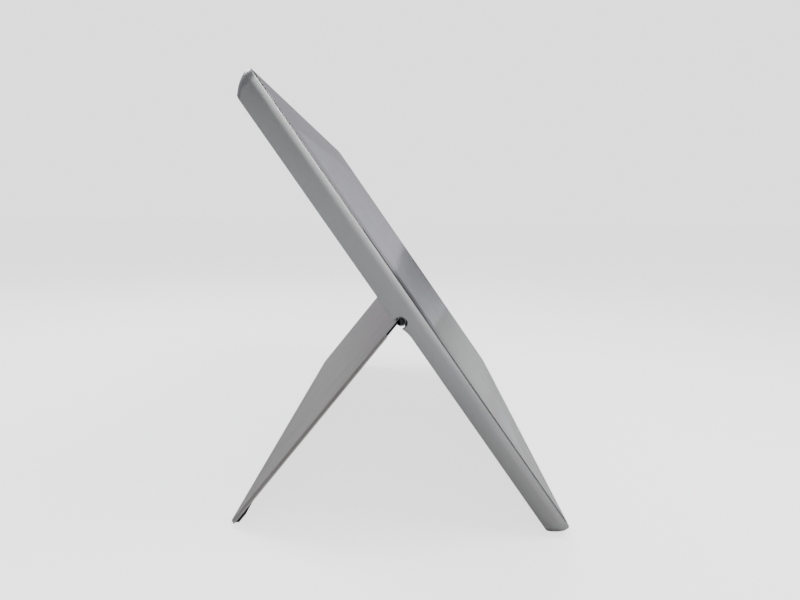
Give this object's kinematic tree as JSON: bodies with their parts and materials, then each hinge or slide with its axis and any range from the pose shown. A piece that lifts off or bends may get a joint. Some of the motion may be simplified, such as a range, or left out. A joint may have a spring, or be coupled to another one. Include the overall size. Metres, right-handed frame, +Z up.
{
  "type": "digital photo frame",
  "caption": "Slim leaning display panel with a glass front and a tapered metal back cover, propped on a full-width fold-out stand plate hinged halfway up its back.",
  "frame": {"origin": "centre of the outer box's base, on the table plane", "axes": "+X along the panel's width, towards the side with the ports; +Y from the glass side to the stand; +Z up. The glass faces -Y and up, leaning 35.4 degrees back from upright."},
  "size_m": [0.25, 0.11, 0.1446],
  "materials": {
    "satin_silver": "satin, bead blasted and anodised silver",
    "stand_silver": "satin, fine lengthwise grain",
    "front_glass": "glossy, with a black printed border",
    "black_foam_tape": "soft black double-sided foam",
    "display_cell": "glossy liquid-crystal cell",
    "clear_acrylic": "clear light guide",
    "black_plastic": "matte black moulding",
    "bright_steel": "plated steel",
    "grey_rubber": "matte dark grey rubber",
    "green_board": "green solder mask on glass-fibre board",
    "amber_film": "amber polyimide film",
    "lead_sleeve": "thin insulated wire",
    "button_grey": "satin grey moulding"
  },
  "bodies": {
    "casing": {"aerial_lead": "lead_sleeve", "backlight_tray": "bright_steel", "base_foot": "grey_rubber", "board_screw_1": "bright_steel", "board_screw_2": "bright_steel", "board_screw_3": "bright_steel", "board_screw_4": "bright_steel", "card_socket": "bright_steel", "case_screw_1": "bright_steel", "case_screw_2": "bright_steel", "case_screw_3": "bright_steel", "case_screw_4": "bright_steel", "case_screw_5": "bright_steel", "case_screw_6": "bright_steel", "cover_glass": "front_glass", "display_frame": "black_plastic", "display_ribbon": "amber_film", "glass_tape": "black_foam_tape", "hinge_bracket_left": "bright_steel", "hinge_bracket_right": "bright_steel", "hinge_screw_1": "bright_steel", "hinge_screw_2": "bright_steel", "hinge_screw_3": "bright_steel", "hinge_screw_4": "bright_steel", "lcd_panel": "display_cell", "led_strip": "green_board", "light_guide": "clear_acrylic", "main_board": "green_board", "power_inlet": "bright_steel", "power_switch": "bright_steel", "rear_cover": "satin_silver", "ribbon_plug": "black_plastic", "shield_can": "bright_steel", "speaker_lead_left": "lead_sleeve", "speaker_lead_right": "lead_sleeve", "speaker_left": "black_plastic", "speaker_plug": "black_plastic", "speaker_right": "black_plastic", "volume_down_switch": "bright_steel", "volume_up_switch": "bright_steel", "wifi_aerial": "amber_film", "wifi_module": "bright_steel"},
    "stand": {"hinge_pin_left": "bright_steel", "hinge_pin_right": "bright_steel", "stand_foot": "grey_rubber", "stand_plate": "stand_silver"},
    "power_key": {"power_button": "button_grey"},
    "volume_up_key": {"volume_up_button": "button_grey"},
    "volume_down_key": {"volume_down_button": "button_grey"}
  },
  "joints": [
    {"name": "stand_hinge", "type": "hinge", "parent": "casing", "child": "stand", "pos_m": [0, 0.00015, 0.06835], "axis": [1, 0, 0], "range_deg": [-73.72, 0]},
    {"name": "power_press", "type": "slide", "parent": "casing", "child": "power_key", "axis": [0, -0.8151, 0.5793], "range_m": [0, 0.0003], "stiffness_N_per_m": 1000},
    {"name": "volume_up_press", "type": "slide", "parent": "casing", "child": "volume_up_key", "axis": [0, -0.8151, 0.5793], "range_m": [0, 0.0003], "stiffness_N_per_m": 1000},
    {"name": "volume_down_press", "type": "slide", "parent": "casing", "child": "volume_down_key", "axis": [0, -0.8151, 0.5793], "range_m": [0, 0.0003], "stiffness_N_per_m": 1000}
  ]
}
